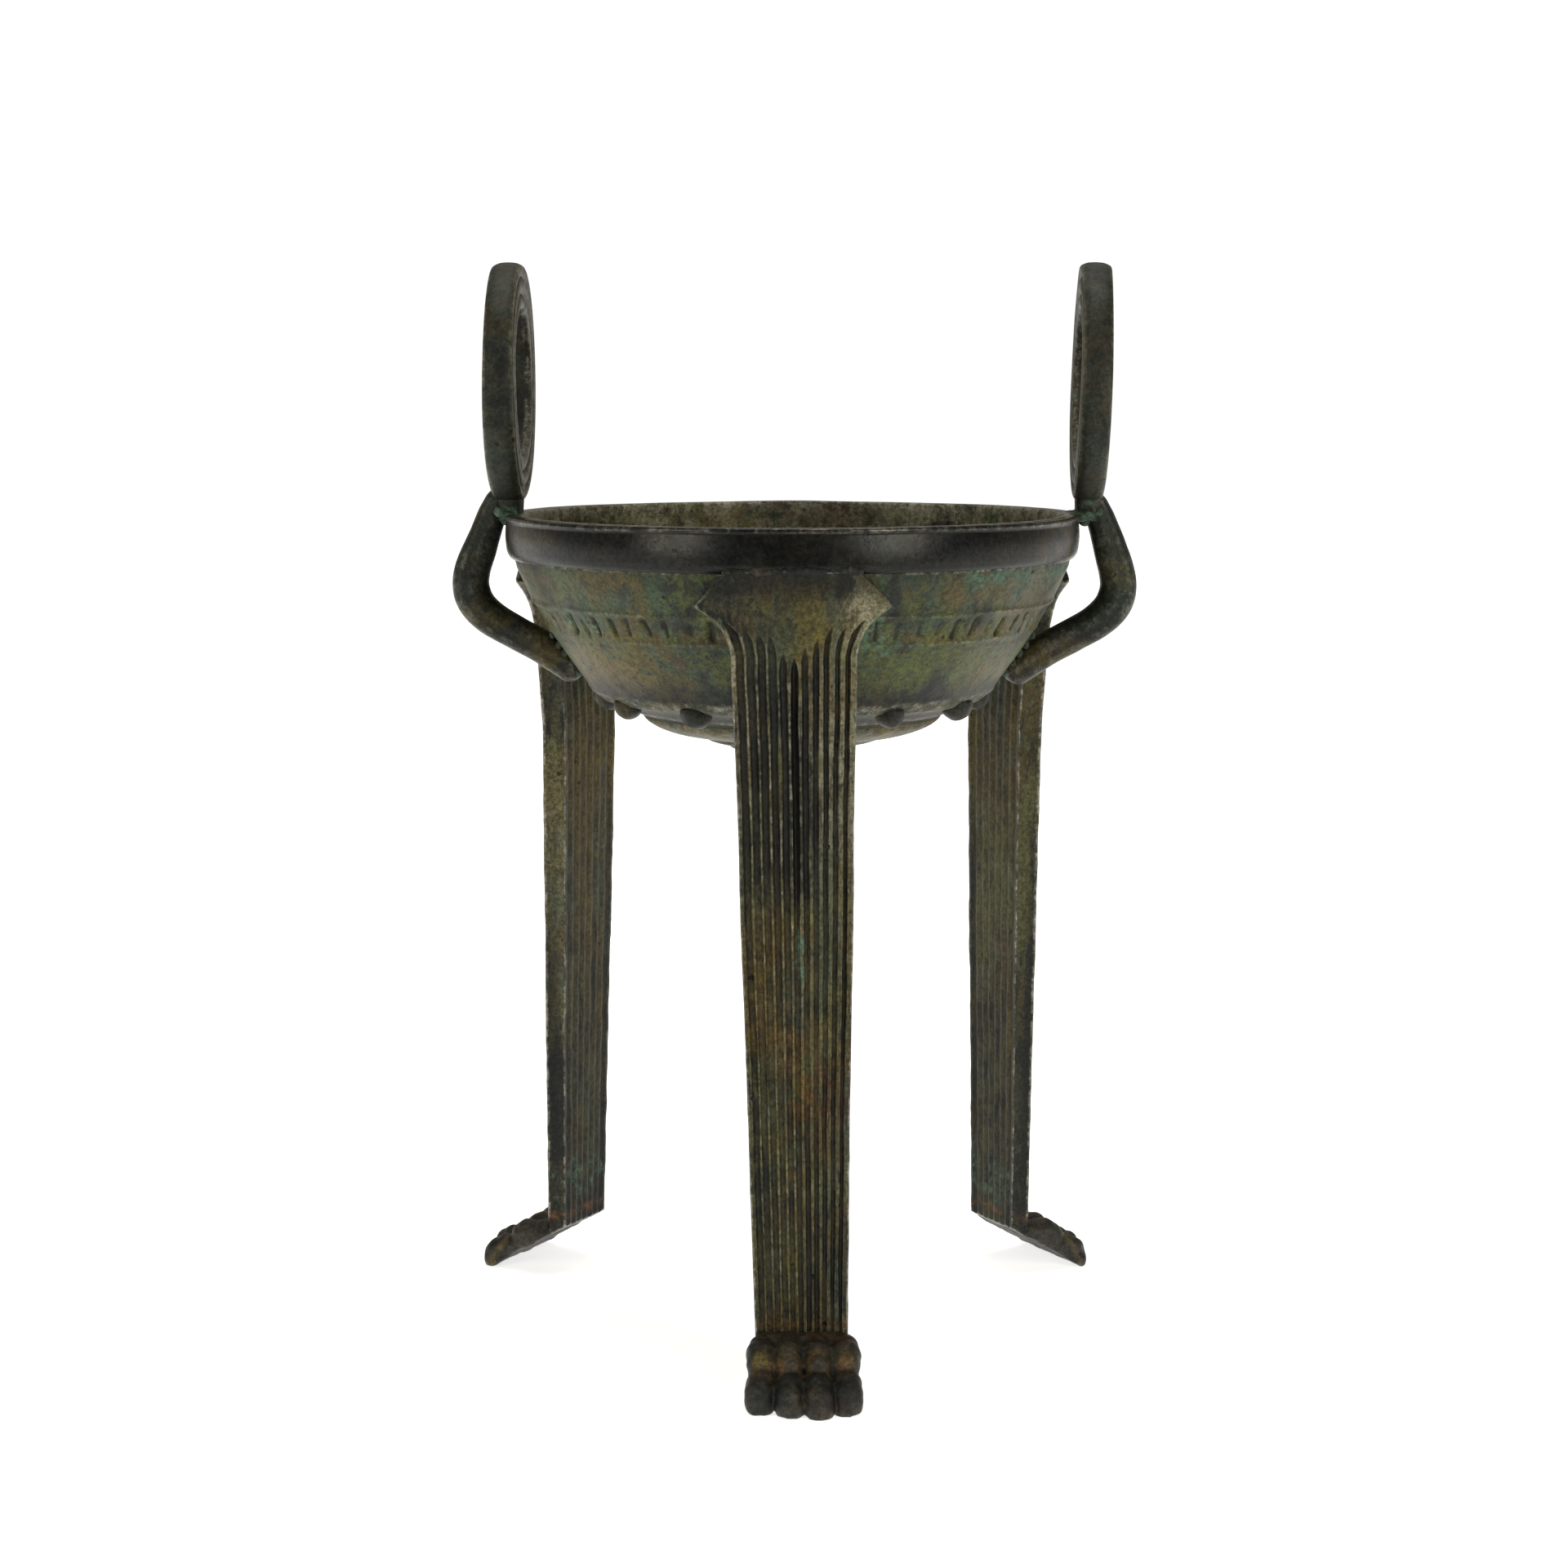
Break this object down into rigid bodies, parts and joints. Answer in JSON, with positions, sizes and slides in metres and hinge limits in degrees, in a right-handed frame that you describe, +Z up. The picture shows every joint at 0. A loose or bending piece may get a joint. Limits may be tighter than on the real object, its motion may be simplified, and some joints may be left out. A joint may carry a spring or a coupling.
{
  "type": "tripod fire bowl",
  "caption": "Round cast bowl on fluted legs with paw feet, with upright ring handles on the rim braced by bent struts, for holding embers, incense or a small fire.",
  "frame": {"origin": "on the ground under the bowl's axis, at the centre of the circle that the three feet stand on", "axes": "+Z up, -Y out over the front leg, the ring handles at -X and +X"},
  "size_m": [0.1282, 0.1214, 0.2],
  "materials": {
    "patina_olive": "cast bronze with an olive and green-black patina, satin with worn highlights",
    "patina_dark": "cast bronze with a near-black patina, smooth satin",
    "patina_brown": "cast bronze with a brown patina, satin",
    "patina_rust": "cast bronze with a dark patina and rust-brown deposits, satin",
    "patina_green": "brazing metal with green copper deposits, matt"
  },
  "bodies": {
    "root": {"bowl": "patina_olive", "front_leg": "patina_olive", "back_right_leg": "patina_olive", "back_left_leg": "patina_olive", "left_ring": "patina_olive", "right_ring": "patina_olive", "rim_band": "patina_dark", "boss_studs": "patina_dark", "left_strut": "patina_dark", "right_strut": "patina_dark", "base_disc": "patina_brown", "front_paw": "patina_rust", "back_right_paw": "patina_rust", "back_left_paw": "patina_rust", "front_leg_braze": "patina_green", "back_right_leg_braze": "patina_green", "back_left_leg_braze": "patina_green", "left_ring_braze": "patina_green", "right_ring_braze": "patina_green", "left_strut_braze": "patina_green", "right_strut_braze": "patina_green"}
  },
  "joints": []
}
